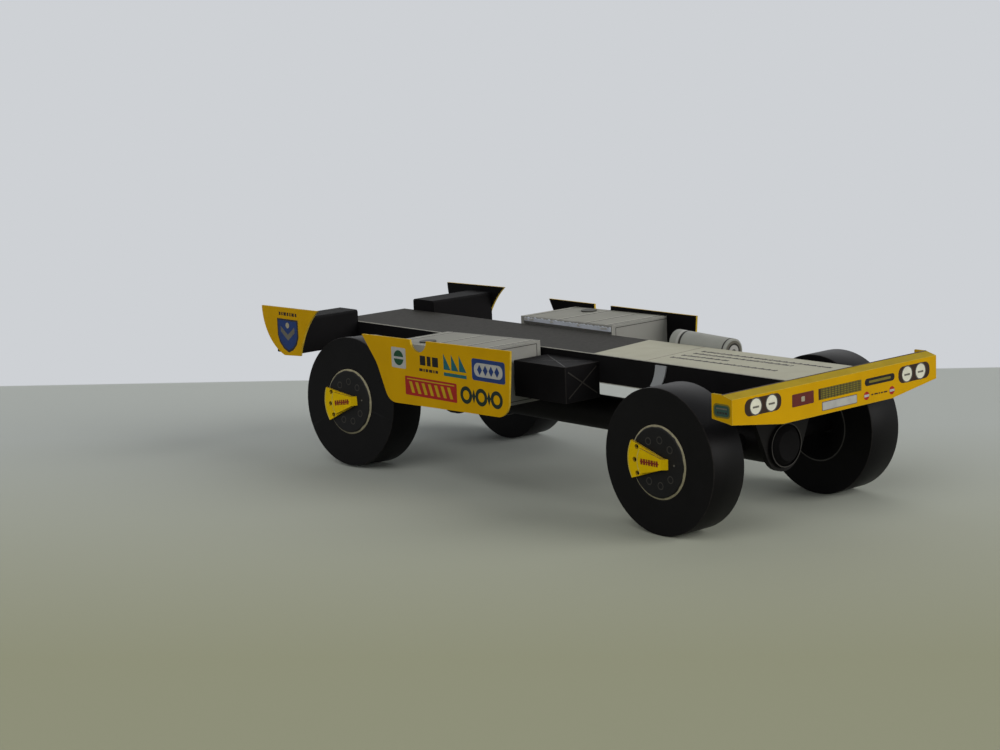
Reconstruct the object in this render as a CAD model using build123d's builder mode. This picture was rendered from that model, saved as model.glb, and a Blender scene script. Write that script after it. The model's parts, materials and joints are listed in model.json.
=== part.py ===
from build123d import *
from math import cos, radians, sin
import os

# Card model of a rally raid truck's rolling chassis, about 1:53, in millimetres.
# X runs to the vehicle's left, Y runs rearwards and Z is up, with the wheels on Z = 0.
# The origin is midway between the front of the bumper and the rear of the side panels.
# Outlines seen from the side give their Y from the front axle.

# ---- driving dimensions ----
card = 0.4                      # laminated card
thin_card = 0.25                # single card
seat_gap = 0.03                 # glued round joints
running_clearance = 0.05
wheelbase = 81.4
front_overhang = 18.4           # bumper's face to front axle
rear_overhang = 23.5            # rear axle to the side panels' rear ends

wheel_radius = 12.0
tyre_width = 7.0
rim_radius = 6.1
hub_rise = 0.3                  # hub disc above the tyre's face
hub_bevel = 0.5                 # its cut edge, seen from outside
dish_depth = 2.6                # cone set into a wheel's inner face
dish_throat = 1.8
axle_radius = 1.5
axle_bore = axle_radius + running_clearance
axle_end = 1.6                  # end of an axle rod, below the tyre's face
rod_start = 0.5                 # its other end, from the centre line

# Each wheel as glued by hand, lengths in mm and angles in degrees.
wheel_radii = {"front_left": wheel_radius, "front_right": wheel_radius, "rear_left": 10.9,
               "rear_right": wheel_radius}
face_distances = {"front_left": 22.9, "front_right": 22.3, "rear_left": 21.4, "rear_right": 21.35}
wheel_shifts = {"front_left": 0, "front_right": 0, "rear_left": -3.0, "rear_right": 0}     # rearwards
wheel_toes = {"front_left": 0, "front_right": 0, "rear_left": 0, "rear_right": 4.2}        # to the front
wheel_leans = {"front_left": 0, "front_right": 0, "rear_left": 0, "rear_right": 3.4}       # top inboard
guard_turns = {"front_left": 0, "front_right": 0, "rear_left": 0, "rear_right": 9.3}

flange_radius = 6.2             # guard's flange, with three holes
flange_half_angle = 30
flange_thickness = 0.45
wedge_radius = 3.7
wedge_half_angle = 34
guard_height = 0.9
nose_start = 1.7                # the wedge begins to slope down here, ahead of the axle
nose_tip = 2.5
nose_half_width = 0.85
guard_hole_radius = 0.42
guard_hole_circle = 4.6
guard_hole_spacing = 28         # degrees

frame_half_width = 8.0
frame_bottom = 19.7
frame_top = 24.7
frame_tail = 100.6              # frame's rear end, behind the front axle
backbone_radius = 3.0
backbone_height = 12.5
housing_radius = 3.4
bulkhead_radius = 4.4
bulkhead_thickness = 1.0
bulkhead_setback = 6.7          # bulkhead's face, ahead of its axle
collar_radius = 3.7
collar_height = 0.6

panel_face = 23.5               # centre line to the outer face of skirts and side panels
panel_inside = panel_face - card
skirt_shift = 0.6               # the left skirt sits this far back, and the right one forward
panel_lift = 0.5                # the right side panel sits this far up, and the left one down
bumper_half_width = 24.8
bumper_keel = 13.3              # half width of the bumper's lowest edge
bumper_bottom = 19.0
bumper_end_bottom = 20.6
bumper_edge = 24.5              # top of the bumper's flat face
bumper_top = 25.1
bumper_return = 4.2
return_rise = 0.6               # a return's rear corner above its front one
bevel_depth = 2.2

# ---- stations along the vehicle ----
front_axle = (front_overhang - wheelbase - rear_overhang) / 2
rear_axle = front_axle + wheelbase
bumper_front = front_axle - front_overhang

os.makedirs("parts", exist_ok=True)
pieces = []


def finish(builder, label):
    """Name a finished piece and keep it for export."""
    builder.part.label = label
    pieces.append(builder.part)


def cross_plane(y):
    """Upright plane across the vehicle, facing forwards: local x is X and local y is Z."""
    return Plane.XZ.offset(-y)


def side_plane(side, distance, thickness):
    """Upright lengthways plane for a sheet raised along +X: local x runs rearwards from the front axle."""
    x = distance if side > 0 else -distance - thickness
    return Plane(origin=(x, front_axle, 0), x_dir=(0, 1, 0), z_dir=(1, 0, 0))


# ---- frame: one long folded box, its nose tucked under the bumper's bevel ----
frame_front = card - front_overhang
bevel_back = bevel_depth - front_overhang
with BuildPart() as frame_box:
    with BuildSketch(side_plane(1, 0, 0)):
        Polygon((frame_front, frame_bottom), (frame_tail, frame_bottom), (frame_tail, frame_top),
                (bevel_back, frame_top), (frame_front, bumper_edge - card), align=None)
    extrude(amount=frame_half_width, both=True)
finish(frame_box, "frame_box")

# ---- outer face of each wheel: local x runs rearwards and local z outwards along its axle ----
face_planes = {}
for axle_name, station in (("front", front_axle), ("rear", rear_axle)):
    for side_name, side in (("left", 1), ("right", -1)):
        wheel_name = f"{axle_name}_{side_name}"
        toe = radians(wheel_toes[wheel_name])
        lean = radians(wheel_leans[wheel_name])
        face_height = wheel_radii[wheel_name] * cos(lean) + tyre_width * sin(lean)
        face_planes[wheel_name] = Plane(
            origin=(side * face_distances[wheel_name], station + wheel_shifts[wheel_name], face_height),
            x_dir=(side * sin(toe), cos(toe), 0),
            z_dir=(side * cos(toe) * cos(lean), -sin(toe) * cos(lean), sin(lean)))

# ---- bulkheads hang under the frame, with an axle housing and two rods behind each ----
for axle_name, station in (("front", front_axle), ("rear", rear_axle)):
    bulkhead_front = station - bulkhead_setback
    with BuildPart() as bulkhead:
        with BuildSketch(cross_plane(bulkhead_front)):
            with Locations((0, wheel_radius)):
                Circle(bulkhead_radius)
            with Locations((0, frame_bottom - card / 2)):
                Rectangle(2 * frame_half_width, card)
            make_hull()
        extrude(amount=-bulkhead_thickness)
    finish(bulkhead, f"{axle_name}_bulkhead")

    housing_front = bulkhead_front + bulkhead_thickness
    axle_wheels = (f"{axle_name}_left", f"{axle_name}_right")
    with BuildPart() as housing:
        with BuildSketch(cross_plane(housing_front)):
            with Locations((0, wheel_radius)):
                Circle(housing_radius)
        extrude(amount=-2 * (station - housing_front))
        for wheel_name in axle_wheels:
            bore_depth = face_distances[wheel_name] - rod_start + seat_gap
            with BuildSketch(face_planes[wheel_name].offset(-bore_depth)):
                Circle(axle_radius + seat_gap)
            extrude(amount=housing_radius + rod_start, mode=Mode.SUBTRACT)
    finish(housing, f"{axle_name}_axle_housing")

    with BuildPart() as rods:
        for wheel_name in axle_wheels:
            rod_depth = face_distances[wheel_name] - rod_start
            with BuildSketch(face_planes[wheel_name].offset(-rod_depth)):
                Circle(axle_radius)
            extrude(amount=rod_depth - axle_end)
    finish(rods, f"{axle_name}_axle_rod")

# ---- backbone tube from the front axle's housing to the rear bulkhead ----
backbone_front = front_axle + bulkhead_setback - bulkhead_thickness
backbone_length = rear_axle - bulkhead_setback - backbone_front
with BuildPart() as backbone_tube:
    with BuildSketch(cross_plane(backbone_front)):
        with Locations((0, backbone_height)):
            Circle(backbone_radius)
    extrude(amount=-backbone_length)
finish(backbone_tube, "backbone_tube")

# ---- collar on the front bulkhead: open ring with a blunt cone standing inside ----
cone_tip_radius = 2.5
cone_rise = 1.2
collar_plane = Plane(origin=(0, front_axle - bulkhead_setback, wheel_radius), x_dir=(0, -1, 0),
                     z_dir=(-1, 0, 0))
with BuildPart() as front_collar:
    with BuildSketch(collar_plane):
        Polygon((0, 0), (0, collar_radius), (collar_height, collar_radius),
                (collar_height, collar_radius - thin_card), (thin_card, collar_radius - thin_card),
                (cone_rise, cone_tip_radius), (cone_rise, 0), align=None)
    revolve(axis=Axis(collar_plane.origin, collar_plane.x_dir))
finish(front_collar, "front_collar")

# ---- wheels: card drum, bevelled hub disc, wedge guard with three holes, and a dished inner face ----
rim_outer = rim_radius - seat_gap
bore_end = card - axle_end
dish_back = dish_depth - tyre_width
for wheel_name, face_plane in face_planes.items():
    axle_line = Axis(face_plane.origin, face_plane.z_dir)
    axle_plane = Plane(origin=face_plane.origin, x_dir=face_plane.z_dir, z_dir=face_plane.x_dir)

    with BuildPart() as tyre:
        with BuildSketch(face_plane):
            Circle(wheel_radii[wheel_name])
            Circle(rim_radius, mode=Mode.SUBTRACT)
        extrude(amount=-tyre_width)
    finish(tyre, f"{wheel_name}_tyre")

    with BuildPart() as rim:
        with BuildSketch(axle_plane):
            Polygon((dish_back, axle_bore), (dish_back, rim_outer), (0, rim_outer),
                    (hub_rise, rim_outer - hub_bevel), (hub_rise, 0), (bore_end, 0),
                    (bore_end, axle_bore), align=None)
        revolve(axis=axle_line)
    finish(rim, f"{wheel_name}_rim")

    guard_plane = Plane(origin=face_plane.offset(hub_rise).origin,
                        x_dir=face_plane.x_dir.rotate(axle_line, guard_turns[wheel_name]),
                        z_dir=face_plane.z_dir)
    nose_slope = Plane(origin=guard_plane.from_local_coords((-nose_start, 0, guard_height)),
                       x_dir=guard_plane.y_dir, z_dir=guard_plane.z_dir - guard_plane.x_dir)
    with BuildPart() as guard:
        with BuildSketch(guard_plane):
            with BuildLine():
                flange_arc = CenterArc((0, 0), flange_radius, -flange_half_angle, 2 * flange_half_angle)
                Polyline(flange_arc @ 1, (-nose_start, nose_half_width), (-nose_start, -nose_half_width),
                         flange_arc @ 0)
            make_face()
            with PolarLocations(guard_hole_circle, 3, -guard_hole_spacing, 3 * guard_hole_spacing):
                Circle(guard_hole_radius, mode=Mode.SUBTRACT)
        extrude(amount=flange_thickness)
        with BuildSketch(guard_plane):
            with BuildLine():
                wedge_arc = CenterArc((0, 0), wedge_radius, -wedge_half_angle, 2 * wedge_half_angle)
                Polyline(wedge_arc @ 1, (-nose_start, nose_half_width), (-nose_tip, nose_half_width),
                         (-nose_tip, -nose_half_width), (-nose_start, -nose_half_width), wedge_arc @ 0)
            make_face()
        extrude(amount=guard_height)
        split(bisect_by=nose_slope, keep=Keep.BOTTOM)
    finish(guard, f"{wheel_name}_guard")

    with BuildPart() as inner_cone:
        with BuildSketch(axle_plane):
            Polygon((-tyre_width, rim_outer), (dish_back, rim_outer), (dish_back, dish_throat), align=None)
        revolve(axis=axle_line)
    finish(inner_cone, f"{wheel_name}_inner_cone")

# ---- front bumper: folded sheet with a bevel and two side returns ----
with BuildPart() as bumper:
    with BuildSketch(cross_plane(bumper_front)):
        Polygon((-bumper_half_width, bumper_end_bottom), (-bumper_keel, bumper_bottom),
                (bumper_keel, bumper_bottom), (bumper_half_width, bumper_end_bottom),
                (bumper_half_width, bumper_edge), (-bumper_half_width, bumper_edge), align=None)
    extrude(amount=-card)
    with BuildSketch(side_plane(1, 0, 0)):
        with Locations((-front_overhang, 0)):
            Polygon((0, bumper_edge), (bevel_depth, bumper_top), (bevel_depth, bumper_top - card),
                    (card, bumper_edge - card), (0, bumper_edge - card), align=None)
    extrude(amount=bumper_half_width, both=True)
    for side in (1, -1):
        with BuildSketch(side_plane(side, bumper_half_width - card, card)):
            with Locations((-front_overhang, 0)):
                Polygon((0, bumper_end_bottom), (0, bumper_edge), (bevel_depth, bumper_top),
                        (bumper_return, bumper_top), (bumper_return, bumper_end_bottom + return_rise),
                        align=None)
        extrude(amount=card)
finish(bumper, "bumper")

# ---- battery box on the right of the frame ----
battery_width = 8.0
battery_length = 13.1
battery_front = 27.8
battery_bottom = 17.2
battery_top = 23.5
battery_middle = front_axle + battery_front + battery_length / 2
with BuildPart() as battery_box:
    with BuildSketch(Plane.XY.offset(battery_bottom)):
        with Locations((-frame_half_width - battery_width / 2, battery_middle)):
            Rectangle(battery_width, battery_length)
    extrude(amount=battery_top - battery_bottom)
finish(battery_box, "battery_box")

# ---- silencer on the left, its rear end a little higher ----
silencer_radius = 2.3
silencer_length = 13.1
silencer_front = 13.6
silencer_height = 23.95
silencer_slope = 2.2            # degrees
silencer_middle = frame_half_width + silencer_radius
silencer_plane = Plane(origin=(silencer_middle, front_axle + silencer_front, silencer_height),
                       x_dir=(1, 0, 0), z_dir=(0, -1, 0)).rotated((silencer_slope, 0, 0))
with BuildPart() as silencer:
    with BuildSketch(silencer_plane):
        Circle(silencer_radius)
    extrude(amount=-silencer_length)
finish(silencer, "silencer")

# ---- pale curved strip on the frame's right side, above the front wheel ----
strip_top = 24.25
strip_middle = 22.3
strip_bottom = 20.5
with BuildPart() as frame_strip:
    with BuildSketch(side_plane(-1, frame_half_width, thin_card)):
        with BuildLine():
            rear_edge = ThreePointArc((14.1, strip_top), (14.5, strip_middle), (15.5, strip_bottom))
            front_edge = ThreePointArc((11.6, strip_top), (12.1, strip_middle), (13.15, strip_bottom))
            Line(rear_edge @ 0, front_edge @ 0)
            Line(rear_edge @ 1, front_edge @ 1)
        make_face()
    extrude(amount=thin_card)
finish(frame_strip, "frame_strip")

# ---- tanks: boxes with a gently sloping top and bottom, held off the frame by a glue tab ----
tank_fronts = {"left": 41.9, "right": 41.6}
tank_lengths = {"left": 24.7, "right": 25.2}
tank_tops = {"left": 26.2, "right": 26.0}       # at the front
top_drops = {"left": 0.25, "right": 0.7}        # over a tank's length
bottom_drop = 0.5
tank_inboard = 8.95
tank_bottom = 15.4
tab_setback = 1.8               # from both ends of the tank
tab_bottom = 18.0
tab_top = 23.5
filler_distance = 20.0          # filler cap's centre from the centre line
filler_station = 17.6           # and behind the tank's front
filler_radius = 1.5
for side_name, side in (("left", 1), ("right", -1)):
    tank_front = tank_fronts[side_name]
    tank_back = tank_front + tank_lengths[side_name]
    tank_top = tank_tops[side_name]
    top_drop = top_drops[side_name]
    tab_front = tank_front + tab_setback
    tab_back = tank_back - tab_setback
    with BuildPart() as tank:
        with BuildSketch(side_plane(side, tank_inboard, panel_inside - tank_inboard)):
            Polygon((tank_front, tank_bottom), (tank_back, tank_bottom - bottom_drop),
                    (tank_back, tank_top - top_drop), (tank_front, tank_top), align=None)
        extrude(amount=panel_inside - tank_inboard)
        with BuildSketch(side_plane(side, frame_half_width, tank_inboard - frame_half_width)):
            Polygon((tab_front, tab_bottom), (tab_back, tab_bottom),
                    (tab_back, tab_top), (tab_front, tab_top), align=None)
        extrude(amount=tank_inboard - frame_half_width)
    finish(tank, f"{side_name}_tank")

    tank_lid = Plane(origin=(0, front_axle + tank_front, tank_top), x_dir=(1, 0, 0),
                     z_dir=(0, top_drop, tank_lengths[side_name]))
    with BuildPart() as filler_cap:
        with BuildSketch(tank_lid):
            with Locations((side * filler_distance, filler_station)):
                Circle(filler_radius)
        extrude(amount=thin_card)
    finish(filler_cap, f"{side_name}_filler_cap")

# ---- skirts outside the tanks: rounded lower corners, wheel arch behind, notch at the filler cap ----
skirt_rear_tops = {"left": (73.4, 26.9), "right": (74.5, 26.1)}
skirt_corner_radius = 3.0
arch_kink_radius = 7.0
notch_station = 58.4
notch_height = 26.5
notch_radius = 2.25
for side_name, side in (("left", 1), ("right", -1)):
    with BuildPart() as skirt:
        with BuildSketch(side_plane(side, panel_inside, card)) as skirt_outline:
            with Locations((side * skirt_shift, 0)):
                Polygon((67.3, 14.4), (34.8, 15.15), (33.8, 26.8), skirt_rear_tops[side_name], (70.4, 21.2),
                        align=None)
            fillet(skirt_outline.vertices().sort_by(Axis.Y)[2], arch_kink_radius)
            fillet(skirt_outline.vertices().sort_by(Axis.Y)[:2], skirt_corner_radius)
            with Locations((notch_station + side * skirt_shift, notch_height)):
                Circle(notch_radius, mode=Mode.SUBTRACT)
        extrude(amount=card)
    finish(skirt, f"{side_name}_skirt")

# ---- mudguard boxes and side panels behind the rear wheels ----
box_fronts = {"left": 91.2, "right": 95.0}
box_lengths = {"left": 6.4, "right": 6.0}
box_bottom = 20.2
box_top = 26.9
fold_radius = 0.5
box_width = panel_inside - frame_half_width
for side_name, side in (("left", 1), ("right", -1)):
    box_middle = front_axle + box_fronts[side_name] + box_lengths[side_name] / 2
    with BuildPart() as mudguard_box:
        with BuildSketch(Plane.XY.offset(box_bottom)):
            with Locations((side * (frame_half_width + box_width / 2), box_middle)):
                Rectangle(box_width, box_lengths[side_name])
        extrude(amount=box_top - box_bottom)
        fillet(mudguard_box.edges().filter_by(Axis.X).group_by(Axis.Z)[-1], fold_radius)
    finish(mudguard_box, f"{side_name}_mudguard_box")

    panel_plane = side_plane(side, panel_inside, card).move(Pos(Y=-side * panel_lift))
    with BuildPart() as side_panel:
        with BuildSketch(panel_plane):
            with BuildLine():
                panel_top = Line((wheelbase + rear_overhang, 28.4), (87.2, 28.65))
                front_curve = ThreePointArc(panel_top @ 1, (90.9, 24.7), (93.2, 19.6))
                underside = Line(front_curve @ 1, (98.2, 19.3))
                ThreePointArc(underside @ 1, (102.4, 22.0), panel_top @ 0)
            make_face()
        extrude(amount=card)
    finish(side_panel, f"{side_name}_side_panel")

for piece in pieces:
    export_step(piece, f"parts/{piece.label}.step")
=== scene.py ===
import json
import math

import bmesh
import bpy
from mathutils import Matrix, Vector

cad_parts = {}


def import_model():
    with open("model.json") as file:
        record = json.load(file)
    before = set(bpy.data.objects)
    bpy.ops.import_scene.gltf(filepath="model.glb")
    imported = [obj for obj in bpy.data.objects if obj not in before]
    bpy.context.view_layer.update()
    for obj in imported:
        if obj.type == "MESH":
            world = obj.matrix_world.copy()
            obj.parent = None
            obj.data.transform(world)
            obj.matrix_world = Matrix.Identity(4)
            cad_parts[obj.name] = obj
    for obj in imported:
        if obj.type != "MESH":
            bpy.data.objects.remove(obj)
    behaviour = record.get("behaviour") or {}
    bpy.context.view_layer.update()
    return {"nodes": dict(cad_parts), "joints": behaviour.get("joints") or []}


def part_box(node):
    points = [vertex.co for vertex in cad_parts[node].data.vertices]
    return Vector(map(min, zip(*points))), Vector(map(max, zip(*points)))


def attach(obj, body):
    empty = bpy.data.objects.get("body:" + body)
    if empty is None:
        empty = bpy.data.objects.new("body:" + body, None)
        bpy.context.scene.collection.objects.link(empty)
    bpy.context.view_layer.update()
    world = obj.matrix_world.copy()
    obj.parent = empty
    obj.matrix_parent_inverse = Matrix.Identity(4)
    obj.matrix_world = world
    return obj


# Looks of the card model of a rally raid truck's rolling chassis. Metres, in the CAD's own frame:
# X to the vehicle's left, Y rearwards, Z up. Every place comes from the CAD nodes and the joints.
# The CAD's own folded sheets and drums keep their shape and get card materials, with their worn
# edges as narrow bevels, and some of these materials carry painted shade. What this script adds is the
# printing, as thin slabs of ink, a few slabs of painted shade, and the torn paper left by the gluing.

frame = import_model()
nodes = frame["nodes"]

MM = 0.001
INK = 0.02 * MM                 # thickness of one layer of ink
GRAIN_SIZE = 0.25 * MM          # the card's fibres
GRAIN_DEPTH = 0.012 * MM
SIDES = {"left": 1, "right": -1}
WHEELS = [f"{axle}_{side}" for axle in ("front", "rear") for side in SIDES]
SPINS = {joint["child"]: joint for joint in frame["joints"]}
FRONT_AXLE = SPINS["front_left_wheel"]["pos_m"][1]

# Two lines cross the deck: their distances behind the front axle at the middle, and how far they
# slant to the rear for each unit to the left.
DECK_LINE = 30.3 * MM           # where the grey print starts
DECK_SLANT = 0.146
CROSS_LINE = 17.3 * MM          # a fold line on the pale part
CROSS_SLANT = 0.0945

# In mm, as all places on a Sheet are.
BUMPER_BEVEL = (2.2, 0.6)       # how far the bumper's bevel runs back, and rises
TANK_INNER = 8.95               # a tank's inboard wall, from the vehicle's middle
TANK_OUTER = 23.1               # where its top meets the skirt
NUT_CIRCLE = 3.75               # radius on which the wheel nuts lie
FLANGE = 0.45                   # how far the guard's flange lies above the hub
DISH_LIP = 6.2                  # radius of the lip round a wheel's dished inner face
COLLAR_LIP = 3.58               # radius of the collar ring's cut edge
COLLAR_RING = 0.6               # and how far in front of the collar's back it lies


# ================================================================ materials

class Nodes:
    """Short calls for the shader nodes of one tree."""

    def __init__(self, tree):
        self.tree = tree

    def add(self, kind):
        return self.tree.nodes.new(f"ShaderNode{kind}")

    def plug(self, value, socket):
        if isinstance(value, bpy.types.NodeSocket):
            self.tree.links.new(value, socket)
        else:
            socket.default_value = value

    def math(self, operation, *values):
        node = self.add("Math")
        node.operation = operation
        for socket, value in zip(node.inputs, values):
            self.plug(value, socket)
        return node.outputs["Value"]

    def axis(self, vector, letter):
        node = self.add("SeparateXYZ")
        self.plug(vector, node.inputs["Vector"])
        return node.outputs[letter]

    def dot(self, vector, direction):
        node = self.add("VectorMath")
        node.operation = "DOT_PRODUCT"
        self.plug(vector, node.inputs[0])
        node.inputs[1].default_value = direction
        return node.outputs["Value"]

    def step(self, value, low, high, start=0.0, end=1.0):
        """The start below low and the end above high, straight in between."""
        node = self.add("MapRange")
        self.plug(value, node.inputs["Value"])
        node.inputs["From Min"].default_value = low
        node.inputs["From Max"].default_value = high
        node.inputs["To Min"].default_value = start
        node.inputs["To Max"].default_value = end
        return node.outputs["Result"]

    def blend(self, factor, first, second, output):
        """Show a mix of two shaders."""
        node = self.add("MixShader")
        self.plug(factor, node.inputs["Fac"])
        self.plug(first, node.inputs[1])
        self.plug(second, node.inputs[2])
        self.plug(node.outputs["Shader"], self.tree.nodes[output].inputs["Surface"])


class Card(Nodes):
    """A printed card material."""

    def __init__(self, name, roughness=0.6, gloss=0.15):
        self.material = bpy.data.materials.new(name)
        self.material.use_nodes = True
        super().__init__(self.material.node_tree)
        self.shader = self.tree.nodes["Principled BSDF"]
        self.shader.inputs["Roughness"].default_value = roughness
        self.shader.inputs["Specular IOR Level"].default_value = gloss
        coordinates = self.add("TexCoord")
        self.place = coordinates.outputs["Object"]
        self.normal = coordinates.outputs["Normal"]

    def noise(self, size, detail=2.0):
        """Noise whose blobs are about size across, in metres."""
        node = self.add("TexNoise")
        node.inputs["Scale"].default_value = 1 / size
        node.inputs["Detail"].default_value = detail
        self.plug(self.place, node.inputs["Vector"])
        return node.outputs["Fac"]

    def upward(self):
        """1 on faces that look up, and 0 on the others."""
        return self.step(self.axis(self.normal, "Z"), 0.6, 0.8)

    def mix(self, factor, first, second):
        """The first colour where factor is 0, and the second where it is 1."""
        node = self.add("Mix")
        node.data_type = "RGBA"
        self.plug(factor, node.inputs["Factor"])
        self.plug(first, node.inputs[6])
        self.plug(second, node.inputs[7])
        return node.outputs[2]

    def tone(self, colour, spread=0.06, size=5 * MM):
        """The colour, drifting a little darker and lighter over patches of that size."""
        dark = [c * (1 - spread) for c in colour[:3]] + [1]
        light = [min(c * (1 + spread), 1) for c in colour[:3]] + [1]
        return self.mix(self.step(self.noise(size), 0.3, 0.7), dark, light)

    def paint(self, colour):
        """Give the card that colour, and its fine grain as bump."""
        grain = self.add("Bump")
        grain.inputs["Strength"].default_value = 0.45
        grain.inputs["Distance"].default_value = GRAIN_DEPTH
        self.plug(self.noise(GRAIN_SIZE, 4.0), grain.inputs["Height"])
        self.plug(grain.outputs["Normal"], self.shader.inputs["Normal"])
        self.plug(colour, self.shader.inputs["Base Color"])
        return self.material


def rgb(red, green, blue):
    """Screen colour, 0 to 255, as the linear one that shaders take."""
    linear = [c / 12.92 if c <= 0.04045 else ((c + 0.055) / 1.055) ** 2.4
              for c in (red / 255, green / 255, blue / 255)]
    return [*linear, 1.0]


BLACK = rgb(8, 7, 8)            # deepest black print: tyres, hubs and the backs of the yellow sheets
BROWN_BLACK = rgb(10, 8, 7)     # pieces below the frame
DULL_BLACK = rgb(13, 12, 13)    # boxes and the frame's sides
YELLOW = rgb(181, 139, 0)
# painted shade: the darker, duller yellow of the bumper's up-facing bevel
SHADED_BEVEL_YELLOW = rgb(150, 128, 14)
GUARD_YELLOW = rgb(198, 165, 0)
CORE = rgb(142, 136, 111)       # the card's unprinted core, at cut edges
WORN_YELLOW = rgb(170, 142, 43)
SOFT_BLACK = rgb(23, 21, 20)    # black card where its edges are rubbed
WORN_GREY = rgb(150, 149, 141)
PALE = rgb(164, 163, 147)       # unprinted card on the deck
DECK = rgb(47, 46, 43)
GREY = rgb(126, 126, 118)       # tank tops
# painted shade on the tanks: a grey for their upright sides, almost as light as the tops, and a dark one
# for their undersides
SHADED_SIDE_GREY = rgb(125, 125, 120)
SHADED_UNDER_GREY = rgb(30, 30, 27)


def plain(name, colour, spread=0.06, size=5 * MM, roughness=0.6, gloss=0.15):
    card = Card(name, roughness, gloss)
    return card.paint(card.tone(colour, spread, size))


def side_sheet():
    """Skirts and side panels: printed yellow outside, black inside, with the pale core at the cut edge."""
    card = Card("yellow_side_sheet", 0.6, 0.05)
    outward = card.math("MULTIPLY", card.axis(card.normal, "X"), card.axis(card.place, "X"))
    outside = card.math("GREATER_THAN", outward, 10 * MM)
    inside = card.math("LESS_THAN", outward, -10 * MM)
    edge = card.mix(inside, card.tone(WORN_YELLOW, 0.2, 1 * MM), card.tone(BLACK, 0.2))
    return card.paint(card.mix(outside, edge, card.tone(YELLOW, 0.05)))


def bumper_sheet():
    """The bumper: yellow on the front, bevel and returns, black behind, with the up-facing bevel painted a
    darker, duller yellow as shade.
    """
    card = Card("yellow_bumper_sheet", 0.6, 0.05)
    sideways = card.math("ABSOLUTE", card.axis(card.normal, "X"))
    forwards = card.math("MULTIPLY", card.axis(card.normal, "Y"), -1.0)
    outward = card.math("ADD", card.math("ADD", sideways, forwards), card.axis(card.normal, "Z"))
    outside = card.step(outward, -0.2, 0.2)
    # faces that look up get the bevel's yellow, which is painted shade
    front = card.mix(card.upward(), card.tone(YELLOW, 0.05), card.tone(SHADED_BEVEL_YELLOW, 0.08, 3 * MM))
    return card.paint(card.mix(outside, card.tone(BLACK, 0.2), front))


def deck_sheet():
    """The frame: black sides, grey deck, and its front left pale for glue."""
    card = Card("deck_sheet", 0.72, 0.07)
    behind = card.math("SUBTRACT", card.axis(card.place, "Y"),
                       card.math("MULTIPLY", card.axis(card.place, "X"), DECK_SLANT))
    printed = card.step(behind, FRONT_AXLE + DECK_LINE, FRONT_AXLE + DECK_LINE + 0.1 * MM)
    top = card.mix(printed, card.tone(PALE, 0.04, 3 * MM), card.tone(DECK, 0.22, 0.5 * MM))
    return card.paint(card.mix(card.upward(), card.tone(DULL_BLACK, 0.2), top))


def tank_sheet():
    """Tanks: pale grey above, a grey of their own on the upright sides as painted shade, set almost as
    light as the top, and painted dark below as shade.
    """
    card = Card("tank_sheet", 0.65, 0.1)
    sides = card.mix(card.upward(), card.tone(SHADED_SIDE_GREY, 0.04), card.tone(GREY, 0.04))
    # faces that look down are painted dark: painted shade
    level = card.step(card.axis(card.normal, "Z"), -0.8, -0.6)
    return card.paint(card.mix(level, card.tone(SHADED_UNDER_GREY, 0.1), sides))


def hub_sheet(wheel):
    """A hub disc: black, with the pale core on the outer half of its slanted cut edge."""
    card = Card(f"{wheel}_hub_sheet", 0.55, 0.2)
    joint = SPINS[f"{wheel}_wheel"]
    centre = Vector(joint["pos_m"])
    back = Vector((0, 0, 1)).cross(Vector(joint["axis"])).normalized()
    up = Vector(joint["axis"]).cross(back)
    squares = []
    for direction in (back, up):
        away = card.math("SUBTRACT", card.dot(card.place, direction), centre.dot(direction))
        squares.append(card.math("MULTIPLY", away, away))
    radius = card.math("SQRT", card.math("ADD", *squares))
    pale = card.step(card.math("ADD", radius, card.math("MULTIPLY", card.noise(1.5 * MM), 0.3 * MM)),
                     5.88 * MM, 5.98 * MM)
    axial = card.math("ABSOLUTE", card.axis(card.normal, "X"))
    slanted = card.math("MULTIPLY", card.step(axial, 0.3, 0.45), card.step(axial, 0.93, 0.85))
    return card.paint(card.mix(card.math("MULTIPLY", slanted, pale), card.tone(BLACK, 0.2),
                               card.tone(CORE, 0.2, 1 * MM)))


def guard_sheet():
    """Wheel guards: yellow, with a paler cut edge."""
    card = Card("yellow_guard_sheet", 0.6, 0.05)
    axial = card.math("ABSOLUTE", card.axis(card.normal, "X"))
    return card.paint(card.mix(card.step(axial, 0.3, 0.5), card.tone(WORN_YELLOW, 0.2, 1 * MM),
                               card.tone(GUARD_YELLOW, 0.05, 2 * MM)))


black = plain("black_card", DULL_BLACK, 0.2, 5 * MM, 0.7, 0.06)
brown_black = plain("brown_black_card", BROWN_BLACK, 0.2)
soft_black = plain("soft_black_edge", SOFT_BLACK, 0.5, 0.8 * MM, 0.8)
worn_yellow = plain("worn_yellow_edge", WORN_YELLOW, 0.2, 0.8 * MM, 0.7)
worn_grey = plain("worn_grey_edge", WORN_GREY, 0.12, 0.8 * MM, 0.7)
sides_material = side_sheet()
bumper_material = bumper_sheet()
deck_material = deck_sheet()
tank_material = tank_sheet()
guard_material = guard_sheet()
tyre_material = plain("tyre_card", BLACK, 0.2, 3 * MM, 0.48, 0.1)
silencer_material = plain("silencer_card", rgb(137, 139, 133), 0.04, 3 * MM)
strip_material = plain("pale_strip_card", rgb(142, 145, 148), 0.03, 3 * MM)
filler_material = plain("filler_card", rgb(56, 56, 52), 0.1, 1 * MM)

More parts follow.
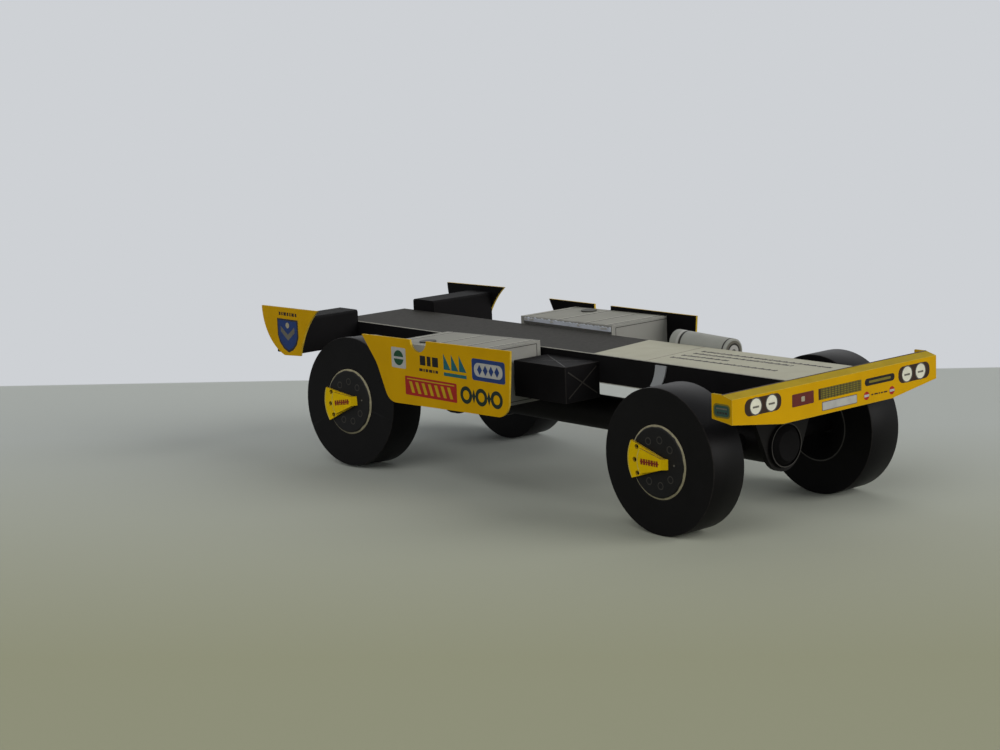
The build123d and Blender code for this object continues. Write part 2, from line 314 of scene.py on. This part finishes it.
# the red-brown ink prints the guards' text and also draws a painted shadow on the guards' flanges
INK_COLOURS = {
    "white": (154, 154, 150), "pale": (159, 158, 147), "lamp": (194, 194, 177), "core": (147, 141, 119),
    "torn": (165, 170, 178), "soft": (89, 87, 79), "grey": (70, 69, 66), "nut": (47, 45, 42),
    "line": (38, 36, 33), "dim": (20, 18, 17), "black": (12, 10, 9), "brown": (41, 24, 9),
    "maroon": (82, 27, 20), "rust": (111, 36, 9), "red": (142, 23, 14), "yellow": (167, 137, 1),
    "glow": (180, 162, 70), "olive": (102, 93, 23), "green": (15, 61, 36), "dark_green": (14, 33, 23),
    "blue_green": (40, 67, 59), "teal": (14, 82, 89), "blue": (23, 47, 98)}
INKS = {ink: plain(f"ink_{ink}", rgb(*colour), 0.08, 1.5 * MM, 0.55, 0.2)
        for ink, colour in INK_COLOURS.items()}


def dress(node, material, worn=None, width=0.0):
    """Give a CAD node its material and, where its folds or cut edges are worn, a narrow worn bevel."""
    obj = nodes[node]
    obj.data.materials.clear()
    obj.data.materials.append(material)
    if worn:
        obj.data.materials.append(worn)
        weld = obj.modifiers.new("weld", "WELD")
        weld.merge_threshold = 0.001 * MM
        bevel = obj.modifiers.new("worn_edge", "BEVEL")
        bevel.width = width
        bevel.segments = 2
        bevel.limit_method = "ANGLE"
        bevel.angle_limit = math.radians(35)
        bevel.material = 1


dress("frame_box", deck_material, worn_grey, 0.12 * MM)
dress("bumper", bumper_material, worn_yellow, 0.07 * MM)
dress("battery_box", black, soft_black, 0.12 * MM)
dress("silencer", silencer_material, worn_grey, 0.06 * MM)
dress("frame_strip", strip_material)
dress("front_collar", black)
for axle in ("front", "rear"):
    dress(f"{axle}_bulkhead", brown_black)
    dress(f"{axle}_axle_housing", brown_black)
    dress(f"{axle}_axle_rod", black)
dress("backbone_tube", brown_black)
for side in SIDES:
    dress(f"{side}_tank", tank_material, worn_grey, 0.07 * MM)
    dress(f"{side}_filler_cap", filler_material)
    dress(f"{side}_skirt", sides_material)
    dress(f"{side}_side_panel", sides_material)
    dress(f"{side}_mudguard_box", black, soft_black, 0.12 * MM)
for wheel in WHEELS:
    dress(f"{wheel}_tyre", tyre_material, soft_black, 0.12 * MM)
    dress(f"{wheel}_rim", hub_sheet(wheel))
    dress(f"{wheel}_guard", guard_material)
    dress(f"{wheel}_inner_cone", black)


# ================================================================ printing

def block(u0, v0, u1, v1, corner=0.0):
    """Outline of a rectangle, its corners rounded if asked."""
    if not corner:
        return [(u0, v0), (u1, v0), (u1, v1), (u0, v1)]
    centres = ((u1 - corner, v0 + corner, -90), (u1 - corner, v1 - corner, 0),
               (u0 + corner, v1 - corner, 90), (u0 + corner, v0 + corner, 180))
    outline = []
    for u, v, start in centres:
        for turn in range(start, start + 91, 15):
            angle = math.radians(turn)
            outline.append((u + corner * math.cos(angle), v + corner * math.sin(angle)))
    return outline


def disc(u, v, radius, steps=32):
    turns = [2 * math.pi * i / steps for i in range(steps)]
    return [(u + radius * math.cos(turn), v + radius * math.sin(turn)) for turn in turns]


def stroke(u0, v0, u1, v1, width):
    """Outline of a straight line drawn with that width."""
    length = math.hypot(u1 - u0, v1 - v0)
    du = -(v1 - v0) / length * width / 2
    dv = (u1 - u0) / length * width / 2
    return [(u0 - du, v0 - dv), (u1 - du, v1 - dv), (u1 + du, v1 + dv), (u0 + du, v0 + dv)]


def arc(radius, half_angle, steps=24):
    """Points along an arc about the origin, centred on the u axis."""
    turns = [math.radians(half_angle * (2 * i / steps - 1)) for i in range(steps + 1)]
    return [(radius * math.cos(turn), radius * math.sin(turn)) for turn in turns]


class Sheet:
    """Printing on one flat place: u and v in mm from its origin, and each shape a thin slab of ink."""

    def __init__(self, name, body, slot, origin, u, v, out):
        self.name = name
        self.body = body
        self.slot = slot
        self.origin = Vector(origin)
        self.u = Vector(u).normalized()
        self.v = Vector(v).normalized()
        self.out = Vector(out).normalized()
        self.mesh = bmesh.new()
        self.inks = []

    def at(self, point, height):
        u, v = point
        return self.mesh.verts.new(self.origin + MM * (u * self.u + v * self.v) + height * self.out)

    def face(self, corners, ink):
        if ink not in self.inks:
            self.inks.append(ink)
        self.mesh.faces.new(corners).material_index = self.inks.index(ink)

    def fill(self, outline, ink, layer=1, height=None):
        """A filled shape, layer counting outwards from the card, or that high in metres."""
        rise = height or INK * layer
        low = [self.at(point, 0) for point in outline]
        high = [self.at(point, rise) for point in outline]
        self.face(high, ink)
        self.face(low[::-1], ink)
        for i in range(len(outline)):
            self.face([low[i - 1], low[i], high[i], high[i - 1]], ink)

    def band(self, outer, inner, ink, layer=1, closed=True):
        """The strip between two outlines of as many points, such as a ring or a frame."""
        rise = INK * layer
        rows = [[self.at(point, height) for point in outline]
                for outline, height in ((outer, 0), (outer, rise), (inner, rise), (inner, 0))]
        for i in range(0 if closed else 1, len(outer)):
            for k in range(4):
                self.face([rows[k - 1][i - 1], rows[k - 1][i], rows[k][i], rows[k][i - 1]], ink)
        if not closed:
            self.face([row[0] for row in rows], ink)
            self.face([row[-1] for row in rows], ink)

    def ring(self, u, v, radius, width, ink, layer=1, steps=32):
        self.band(disc(u, v, radius + width / 2, steps), disc(u, v, radius - width / 2, steps), ink, layer)

    def line(self, u0, v0, u1, v1, width, ink, layer=1):
        self.fill(stroke(u0, v0, u1, v1, width), ink, layer)

    def dashes(self, u0, v0, u1, v1, width, lengths, gap, ink, layer=1):
        """A row of short bars from one point towards another, their lengths taken in turn."""
        length = math.hypot(u1 - u0, v1 - v0)
        du = (u1 - u0) / length
        dv = (v1 - v0) / length
        start = 0.0
        turn = 0
        while start + lengths[turn % len(lengths)] <= length:
            end = start + lengths[turn % len(lengths)]
            self.line(u0 + du * start, v0 + dv * start, u0 + du * end, v0 + dv * end, width, ink, layer)
            start = end + gap
            turn += 1

    def done(self):
        """Make the printed piece, riding on its body."""
        bmesh.ops.recalc_face_normals(self.mesh, faces=self.mesh.faces)
        mesh = bpy.data.meshes.new(self.name)
        self.mesh.to_mesh(mesh)
        self.mesh.free()
        for ink in self.inks:
            mesh.materials.append(INKS[ink])
        obj = bpy.data.objects.new(self.name, mesh)
        bpy.context.scene.collection.objects.link(obj)
        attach(obj, self.body)


def corners(node):
    return [vertex.co.copy() for vertex in nodes[node].data.vertices]


def top_at(node, y):
    """Height of a node's top at one of its ends."""
    return max(point.z for point in corners(node) if abs(point.y - y) < 0.05 * MM)


# ---------------------------------------------------------------- bumper

def print_bumper():
    """Lamps, blank plates, a grille and small marks, and a dark line along the top fold."""
    low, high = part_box("bumper")
    bevel = Vector((0, *BUMPER_BEVEL))
    ridge = Sheet("bumper_bevel_print", "chassis", "yellow_card", (0, low.y, high.z - bevel.z * MM),
                  (1, 0, 0), bevel, Vector((1, 0, 0)).cross(bevel))
    ridge.line(low.x / MM, bevel.length - 0.13, high.x / MM, bevel.length - 0.13, 0.24, "brown")
    ridge.done()
    face = Sheet("bumper_print", "chassis", "yellow_card", (0, low.y, 0), (1, 0, 0), (0, 0, 1), (0, -1, 0))
    for u0, v0, u1, v1, lamps in ((-22.0, 21.4, -13.65, 24.1, (-19.5, -15.9)),
                                  (14.9, 21.1, 23.0, 23.85, (17.1, 20.6))):
        middle = (v0 + v1) / 2
        face.fill(block(u0, v0, u1, v1, 1.2), "brown")
        for u in lamps:
            face.ring(u, middle, 1.32, 0.2, "grey", 2)
            face.fill(disc(u, middle, 1.22), "lamp", 2)
            face.line(u - 0.7, middle - 0.1, u + 0.7, middle - 0.1, 0.3, "soft", 3)
    face.fill(block(-11.15, 21.25, -6.05, 23.25, 0.2), "maroon")
    face.fill(block(-9.0, 21.85, -8.2, 22.65, 0.15), "core", 2)
    face.fill(block(-4.9, 21.45, 5.5, 23.25), "brown")
    face.fill(block(-4.4, 21.5, 5.5, 23.2), "olive", 2)
    for i in range(13):
        u = -4.1 + 0.75 * i
        face.line(u, 21.5, u, 23.2, 0.09, "line", 3)
    for i in range(5):
        v = 21.7 + 0.33 * i
        face.line(-4.4, v, 5.5, v, 0.08, "line", 3)
    face.fill(block(-4.1, 19.6, 4.4, 21.05, 0.15), "grey")
    face.fill(block(-4.0, 19.7, 4.3, 20.95, 0.12), "white", 2)
    face.fill(block(6.4, 21.95, 13.9, 23.15, 0.58), "black")
    face.fill(block(7.4, 22.35, 12.9, 22.75, 0.18), "olive", 2)
    for u, v in ((6.8, 20.4), (13.2, 20.35)):
        face.fill(disc(u, v, 0.68), "red")
        face.fill(block(u - 0.6, v - 0.2, u + 0.6, v + 0.2), "white", 2)
    face.dashes(8.0, 20.4, 12.1, 20.35, 0.22, (0.5, 0.9, 0.35), 0.22, "brown")
    face.done()
    for side, sign in SIDES.items():
        flank = Sheet(f"bumper_{side}_print", "chassis", "yellow_card", (sign * high.x, low.y, 0),
                      (0, 1, 0), (0, 0, 1), (sign, 0, 0))
        flank.fill(block(0.35, 21.5, 3.85, 23.7, 0.7), "olive")
        flank.fill(block(0.6, 21.75, 3.6, 23.45, 0.55), "blue_green", 2)
        flank.line(1.0, 22.95, 3.2, 22.95, 0.22, "soft", 3)
        flank.dashes(1.0, 22.3, 3.2, 22.3, 0.3, (0.45, 0.3), 0.18, "line", 3)
        flank.done()


# ---------------------------------------------------------------- skirts and side panels

def print_skirt(side, sign):
    """Made-up patches of blue, teal, green and red on the skirt's outer face."""
    low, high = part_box(f"{side}_skirt")
    edge = high.x if sign > 0 else low.x
    face = Sheet(f"{side}_skirt_print", "chassis", "yellow_card", (edge, low.y, 0),
                 (0, 1, 0), (0, 0, 1), (sign, 0, 0))
    face.fill(block(1.5, 20.9, 10.1, 24.7, 0.5), "blue")
    face.fill(block(2.1, 21.6, 9.5, 24.0, 1.1), "white", 2)
    for i in range(4):
        u = 3.55 + 1.5 * i
        face.fill([(u - 0.62, 22.8), (u, 21.9), (u + 0.62, 22.8), (u, 23.7)], "blue", 3)
    for i in range(3):
        u = 11.6 + 2.1 * i
        face.fill([(u, 21.9), (u + 1.9, 21.9), (u + 1.9, 24.7)], "teal")
    face.line(11.6, 21.1, 17.7, 21.1, 0.6, "teal")
    face.dashes(19.2, 22.9, 25.2, 22.9, 1.7, (1.6, 1.0, 1.5), 0.45, "black")
    face.dashes(19.3, 21.2, 25.2, 21.2, 0.5, (0.7, 0.35, 0.9), 0.25, "brown")
    face.fill(block(28.2, 20.9, 32.2, 24.6, 0.3), "white")
    face.fill(disc(30.2, 22.75, 1.35), "green", 2)
    face.fill(block(28.7, 22.55, 31.7, 22.95), "white", 3)
    for i in range(3):
        face.ring(3.9 + 4.0 * i, 18.0, 1.2, 0.7, "dark_green")
    for i in range(2):
        u = 5.9 + 4.0 * i
        face.fill([(u - 0.45, 18.0), (u, 16.8), (u + 0.45, 18.0), (u, 19.2)], "dark_green")
    face.fill(block(14.4, 16.3, 28.6, 19.7, 0.25), "red")
    for i in range(7):
        u = 15.4 + 1.75 * i
        face.fill([(u, 16.8), (u + 0.8, 16.8), (u + 1.6, 18.8), (u + 0.8, 18.8)], "yellow", 2)
    face.line(15.0, 19.25, 28.0, 19.25, 0.2, "yellow", 2)
    face.done()


def print_panel(side, sign):
    """A plain blue badge with a pale chevron, under a row of dashes."""
    low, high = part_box(f"{side}_side_panel")
    edge = high.x if sign > 0 else low.x
    face = Sheet(f"{side}_side_panel_print", "chassis", "yellow_card", (edge, low.y, high.z),
                 (0, 1, 0), (0, 0, 1), (sign, 0, 0))
    face.dashes(6.6, -1.35, 12.9, -1.35, 0.62, (0.5, 0.75, 0.4), 0.3, "brown")
    face.fill([(6.3, -2.3), (12.9, -2.3), (12.9, -5.6), (12.3, -7.0), (11.1, -8.1), (9.6, -8.7),
               (8.1, -8.1), (6.9, -7.0), (6.3, -5.6)], "line")
    face.fill([(6.65, -2.6), (12.55, -2.6), (12.55, -5.5), (12.0, -6.7), (10.95, -7.7), (9.6, -8.25),
               (8.25, -7.7), (7.2, -6.7), (6.65, -5.5)], "blue", 2)
    face.fill([(7.4, -3.7), (9.6, -5.3), (11.8, -3.7), (11.8, -4.8), (9.6, -6.4), (7.4, -4.8)], "soft", 3)
    face.fill(disc(9.6, -3.5, 0.55), "core", 3)
    face.done()


# ---------------------------------------------------------------- deck, tanks, boxes and silencer

def print_deck():
    """Rows of dashes on the pale part, its fold line, and the dark line where the bumper meets it."""
    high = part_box("frame_box")[1]
    face = Sheet("deck_print", "chassis", "deck_card", (0, FRONT_AXLE, high.z),
                 (1, 0, 0), (0, 1, 0), (0, 0, 1))
    half = high.x / MM
    start = CROSS_LINE / MM
    face.line(-half, start - CROSS_SLANT * half, half, start + CROSS_SLANT * half, 0.1, "soft")
    rows = ((4.3, 15.2, -13.8), (2.1, 15.0, -6.8), (-0.4, 15.4, 4.6), (-2.9, 15.6, -8.0))
    for u, v0, v1 in rows:
        face.dashes(u, v0, u + 0.3, v1, 0.62, (0.95, 0.6, 1.3, 0.45, 0.8), 0.24, "line")
        face.dashes(u + 0.05, v0 - 0.1, u + 0.35, v1, 0.85, (0.2, 0.25), 1.3, "line", 2)
    front = (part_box("bumper")[0].y - FRONT_AXLE) / MM + BUMPER_BEVEL[0] + 0.16
    face.line(-half, front, half, front, 0.22, "brown")
    face.done()


def print_tank(side, sign):
    """Lines across the top for the ribs, and a line round the front."""
    low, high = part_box(f"{side}_tank")
    inner = sign * TANK_INNER
    outer = sign * TANK_OUTER
    seam = sign * (TANK_INNER + 0.9)
    front_top = top_at(f"{side}_tank", low.y)
    rear_top = top_at(f"{side}_tank", high.y)
    length = (high.y - low.y) / MM
    along = Vector((0, high.y - low.y, rear_top - front_top))
    top = Sheet(f"{side}_tank_top_print", "chassis", "grey_card", (0, low.y, front_top),
                (1, 0, 0), along, Vector((1, 0, 0)).cross(along))
    for v in (1.4, 6.9, 14.4, 23.3):
        top.line(inner, v, outer, v, 0.3, "line")
        top.line(inner, v + 0.4, outer, v + 0.4, 0.25, "pale")
    top.line(inner, 0.12, outer, 0.12, 0.2, "grey")
    top.line(sign * (TANK_INNER + 0.15), 0, sign * (TANK_INNER + 0.15), length, 0.16, "grey")
    top.done()
    front = Sheet(f"{side}_tank_front_print", "chassis", "grey_card", (0, low.y, low.z),
                  (1, 0, 0), (0, 0, 1), (0, -1, 0))
    height = (front_top - low.z) / MM
    front.line(seam, 0.9, seam, height - 0.5, 0.12, "line")
    front.line(seam, height - 0.5, outer, height - 0.5, 0.12, "line")
    front.line(seam, 1.1, outer, 1.1, 0.12, "line")
    front.done()


def torn_strip():
    """Torn paper left by the glue along the left tank's inboard wall, above the deck."""
    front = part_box("left_tank")[0].y
    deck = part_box("frame_box")[1].z
    wall = Sheet("left_tank_torn_strip", "chassis", "grey_card", (TANK_INNER * MM, front, deck),
                 (0, 1, 0), (0, 0, 1), (-1, 0, 0))
    start, end, pitch = 0.3, 23.6, 0.35
    count = int((end - start) / pitch)
    ragged = [(start + pitch * i, 1.12 + 0.1 * math.sin(2.3 * i) + 0.07 * math.sin(5.1 * i + 1))
              for i in range(count + 1)]
    wall.fill([(end, 0.0), (start, 0.0), *ragged], "torn", height=0.25 * MM)
    wall.fill([(end, 0.0), (start, 0.0), (start, 0.35), (end, 0.5)], "grey", height=0.3 * MM)
    for u, length in ((1.0, 1.6), (8.2, 0.7), (15.3, 0.9), (20.6, 1.3), (22.4, 0.9)):
        wall.fill([(u, 0.75), (u + length, 0.6), (u + 1.1 * length, 0.95), (u + 0.3, 1.1)], "white",
                  height=0.34 * MM)
    wall.done()


def print_battery():
    """Crossed lines on the battery box, front and top."""
    low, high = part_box("battery_box")
    width = (high.x - low.x) / MM
    height = (high.z - low.z) / MM
    length = (high.y - low.y) / MM
    front = Sheet("battery_front_print", "chassis", "black_card", low, (1, 0, 0), (0, 0, 1), (0, -1, 0))
    top = Sheet("battery_top_print", "chassis", "black_card", (low.x, low.y, high.z),
                (1, 0, 0), (0, 1, 0), (0, 0, 1))
    for sheet, depth, ink, wide in ((front, height, "line", 0.22), (top, length, "dim", 0.2)):
        sheet.line(0.6, 0.8, width - 0.7, depth - 0.7, wide, ink)
        sheet.line(0.6, depth - 0.9, width - 0.7, 0.9, wide, ink, 2)
        sheet.done()


def band_round(name, start, axis, radius, at, width, ink):
    """A printed band round the silencer, as a thin tube."""
    across = axis.cross(Vector((0, 0, 1))).normalized()
    up = across.cross(axis)
    mesh = bmesh.new()
    steps = 72
    rows = []
    outside = radius + INK
    for reach, along in ((radius, at), (outside, at), (outside, at + width), (radius, at + width)):
        rows.append([mesh.verts.new(start + along * axis + reach * (u * across + v * up))
                     for u, v in disc(0, 0, 1, steps)])
    for i in range(steps):
        for k in range(4):
            mesh.faces.new([rows[k - 1][i - 1], rows[k - 1][i], rows[k][i], rows[k][i - 1]])
    bmesh.ops.recalc_face_normals(mesh, faces=mesh.faces)
    data = bpy.data.meshes.new(name)
    mesh.to_mesh(data)
    mesh.free()
    data.materials.append(INKS[ink])
    obj = bpy.data.objects.new(name, data)
    bpy.context.scene.collection.objects.link(obj)
    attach(obj, "chassis")


def print_silencer():
    """Three bands round the silencer, and rings on its front end over a darker disc of painted shade."""
    low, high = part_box("silencer")
    radius = (high.x - low.x) / 2
    start = Vector((low.x + radius, low.y, low.z + radius))
    axis = (Vector((low.x + radius, high.y, high.z - radius)) - start).normalized()
    for name, at, width, ink in (("front", 0.55, 0.3, "line"), ("rear", 10.6, 0.45, "line"),
                                 ("rear_pale", 11.2, 0.5, "white")):
        band_round(f"silencer_{name}_band", start, axis, radius, at * MM, width * MM, ink)
    end = Sheet("silencer_end_print", "chassis", "grey_card", start,
                (1, 0, 0), Vector((1, 0, 0)).cross(axis), -axis)
    # the darker disc on the front end is painted shade; the ring and discs over it are print
    end.fill(disc(0, 0, 1.95), "soft")
    end.ring(0, 0, 1.37, 0.3, "line", 2)
    end.fill(disc(0, 0, 1.2), "white", 2)
    end.fill(disc(0, 0, 0.5), "grey", 3)
    end.done()


# ---------------------------------------------------------------- wheels

def print_wheel(wheel):
    """Nut rings and a dot on the hub, marks on the guard with a painted shadow outside its raised wedge,
    and the pale lip round the dish behind.
    """
    joint = SPINS[f"{wheel}_wheel"]
    centre = Vector(joint["pos_m"])
    sign = SIDES[wheel.split("_")[1]]
    out = sign * Vector(joint["axis"])
    guard = corners(f"{wheel}_guard")
    middle = sum(guard, Vector()) / len(guard) - centre
    along = (middle - middle.dot(out) * out).normalized()
    across = out.cross(along) * sign

    def reaches(node):
        return [(point - centre).dot(out) for point in corners(node)]

    def sheet(part, slot, distance, facing=1):
        """A sheet square to the axle, that far out from the wheel's centre."""
        return Sheet(f"{wheel}_{part}_print", f"{wheel}_wheel", slot, centre + distance * out,
                     along, across, facing * out)

    hub_face = max(reaches(f"{wheel}_rim"))
    hub = sheet("hub", "rim_card", hub_face)
    for turn in (60, 100, 140, 220, 260, 300):
        u = NUT_CIRCLE * math.cos(math.radians(turn))
        v = NUT_CIRCLE * math.sin(math.radians(turn))
        hub.ring(u, v, 0.56, 0.17, "nut", steps=20)
    hub.fill(disc(-NUT_CIRCLE, 0, 0.16, 12), "soft", 2)
    hub.done()

    wedge = sheet("guard", "yellow_card", max(reaches(f"{wheel}_guard")))
    wedge.dashes(-1.0, 0.0, 2.9, 0.0, 0.95, (0.42, 0.3, 0.5), 0.16, "rust")
    wedge.line(-1.2, 0.0, 2.9, 0.0, 0.2, "rust", 2)
    wedge.band(arc(3.68, 33), arc(3.5, 33), "glow", closed=False)
    wedge.done()
    flange = sheet("flange", "yellow_card", hub_face + FLANGE * MM)
    # painted shadow of the wedge's step, on the flange just outside it
    flange.band(arc(3.95, 30), arc(3.75, 30), "rust", closed=False)
    flange.band(arc(6.17, 29), arc(6.0, 29), "glow", closed=False)
    flange.done()

    dish = sheet("dish", "tyre_card", min(reaches(f"{wheel}_tyre")), -1)
    dish.ring(0, 0, DISH_LIP, 0.24, "grey", steps=72)
    dish.done()


def print_collar():
    """The pale cut edge of the collar's ring."""
    low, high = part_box("front_collar")
    middle = (low + high) / 2
    face = Sheet("collar_edge_print", "chassis", "black_card",
                 (middle.x, high.y - COLLAR_RING * MM, middle.z), (1, 0, 0), (0, 0, 1), (0, -1, 0))
    face.ring(0, 0, COLLAR_LIP, 0.16, "nut", steps=64)
    face.done()


print_bumper()
print_collar()
for side, sign in SIDES.items():
    print_skirt(side, sign)
    print_panel(side, sign)
    print_tank(side, sign)
print_deck()
torn_strip()
print_battery()
print_silencer()
for wheel in WHEELS:
    print_wheel(wheel)


# ================================================================ stage

WALL = rgb(206, 209, 213)
# the floor's two tones paint light: a warm painted reflection in front, and brighter, greyer painted light
# towards the wall
NEAR_FLOOR = rgb(152, 154, 131)
FAR_FLOOR = rgb(174, 179, 176)
TO_WALL = (0.7436, 0.6686, 0)   # level direction square to the line where the floor ends
FLOOR_END = 102.7 * MM
SKY_LOW = 0.66                  # light from near the horizon,
SKY_HIGH = 0.19                 # from overhead,
WALL_GLOW = 1.5                 # and how much brighter it is from the wall's side


def camera():
    """The photograph's view: from the vehicle's right front, and a little above."""
    yaw, pitch, roll = 0.71639, -0.17281, -0.04006
    place = (-0.26484, -0.28443, 0.08663)
    forward = Vector((math.sin(yaw) * math.cos(pitch), math.cos(yaw) * math.cos(pitch), math.sin(pitch)))
    right = forward.cross(Vector((0, 0, 1))).normalized()
    up = right.cross(forward)
    tilted_right = math.cos(roll) * right + math.sin(roll) * up
    tilted_up = -math.sin(roll) * right + math.cos(roll) * up
    data = bpy.data.cameras.new("camera")
    data.lens = 79.2
    data.sensor_width = 36.0
    data.clip_start = 0.01
    data.clip_end = 20.0
    obj = bpy.data.objects.new("camera", data)
    bpy.context.scene.collection.objects.link(obj)
    turned = Matrix((tilted_right, tilted_up, -forward)).transposed().to_4x4()
    obj.matrix_world = Matrix.Translation(place) @ turned
    bpy.context.scene.camera = obj


def lamp(name, direction, spread, level, colour):
    """Even light from a patch of sky that many degrees wide. A white card facing it gets that level."""
    data = bpy.data.lights.new(name, "SUN")
    data.angle = math.radians(spread)
    data.energy = level * math.pi
    data.color = colour
    obj = bpy.data.objects.new(name, data)
    bpy.context.scene.collection.objects.link(obj)
    obj.matrix_world = Vector(direction).to_track_quat("Z", "Y").to_matrix().to_4x4()


def floor():
    """One plain sheet: sage with a warm cast in front that is a painted reflection, turning paler and
    greyer behind as painted light, and as pale as the wall beyond a line.
    """
    mesh = bpy.data.meshes.new("floor")
    mesh.from_pydata([(-3, -3, 0), (3, -3, 0), (3, 3, 0), (-3, 3, 0)], [], [(0, 1, 2, 3)])
    obj = bpy.data.objects.new("floor", mesh)
    bpy.context.scene.collection.objects.link(obj)
    card = Card("floor_sheet", 0.9, 0.0)
    distance = card.dot(card.place, TO_WALL)
    # painted light: the floor grows paler and greyer towards the wall
    colour = card.mix(card.step(distance, -110 * MM, 40 * MM), NEAR_FLOOR, FAR_FLOOR)
    card.plug(colour, card.shader.inputs["Base Color"])
    wall = card.add("Emission")
    wall.inputs["Color"].default_value = WALL
    beyond = card.step(distance, FLOOR_END, FLOOR_END + 1 * MM)
    shown = card.math("MULTIPLY", beyond, card.add("LightPath").outputs["Is Camera Ray"])
    card.blend(shown, card.shader.outputs["BSDF"], wall.outputs["Emission"], "Material Output")
    obj.data.materials.append(card.material)


def world():
    """Even daylight, brighter low down, and a plain pale wall for the camera and in the gloss."""
    daylight = bpy.data.worlds.new("daylight")
    daylight.use_nodes = True
    sky = Nodes(daylight.node_tree)
    direction = sky.add("TexCoord").outputs["Generated"]
    level = sky.step(sky.axis(direction, "Z"), 0.15, 0.6, SKY_LOW, SKY_HIGH)
    glow = sky.step(sky.dot(direction, (0.7, 0.7, -0.2)), 0.2, 0.9, 1.0, WALL_GLOW)
    background = sky.tree.nodes["Background"]
    background.inputs["Color"].default_value = (0.97, 0.98, 1.0, 1)
    sky.plug(sky.math("MULTIPLY", level, glow), background.inputs["Strength"])
    wall = sky.add("Background")
    wall.inputs["Color"].default_value = WALL
    rays = sky.add("LightPath").outputs
    shown = rays["Is Camera Ray"]
    for ray in ("Is Glossy Ray", "Is Transmission Ray"):
        shown = sky.math("MAXIMUM", shown, rays[ray])
    sky.blend(shown, background.outputs["Background"], wall.outputs["Background"], "World Output")
    bpy.context.scene.world = daylight


camera()
floor()
world()
lamp("window_behind", (0.55, 0.65, 0.65), 55, 0.15, (1.0, 0.99, 0.97))
lamp("front_fill", (0.45, -0.9, 0.42), 40, 0.68, (1.0, 0.98, 0.95))
lamp("side_fill", (-0.9, -0.3, 0.8), 45, 0.36, (1.0, 0.98, 0.95))
bpy.context.scene.view_settings.view_transform = "Standard"
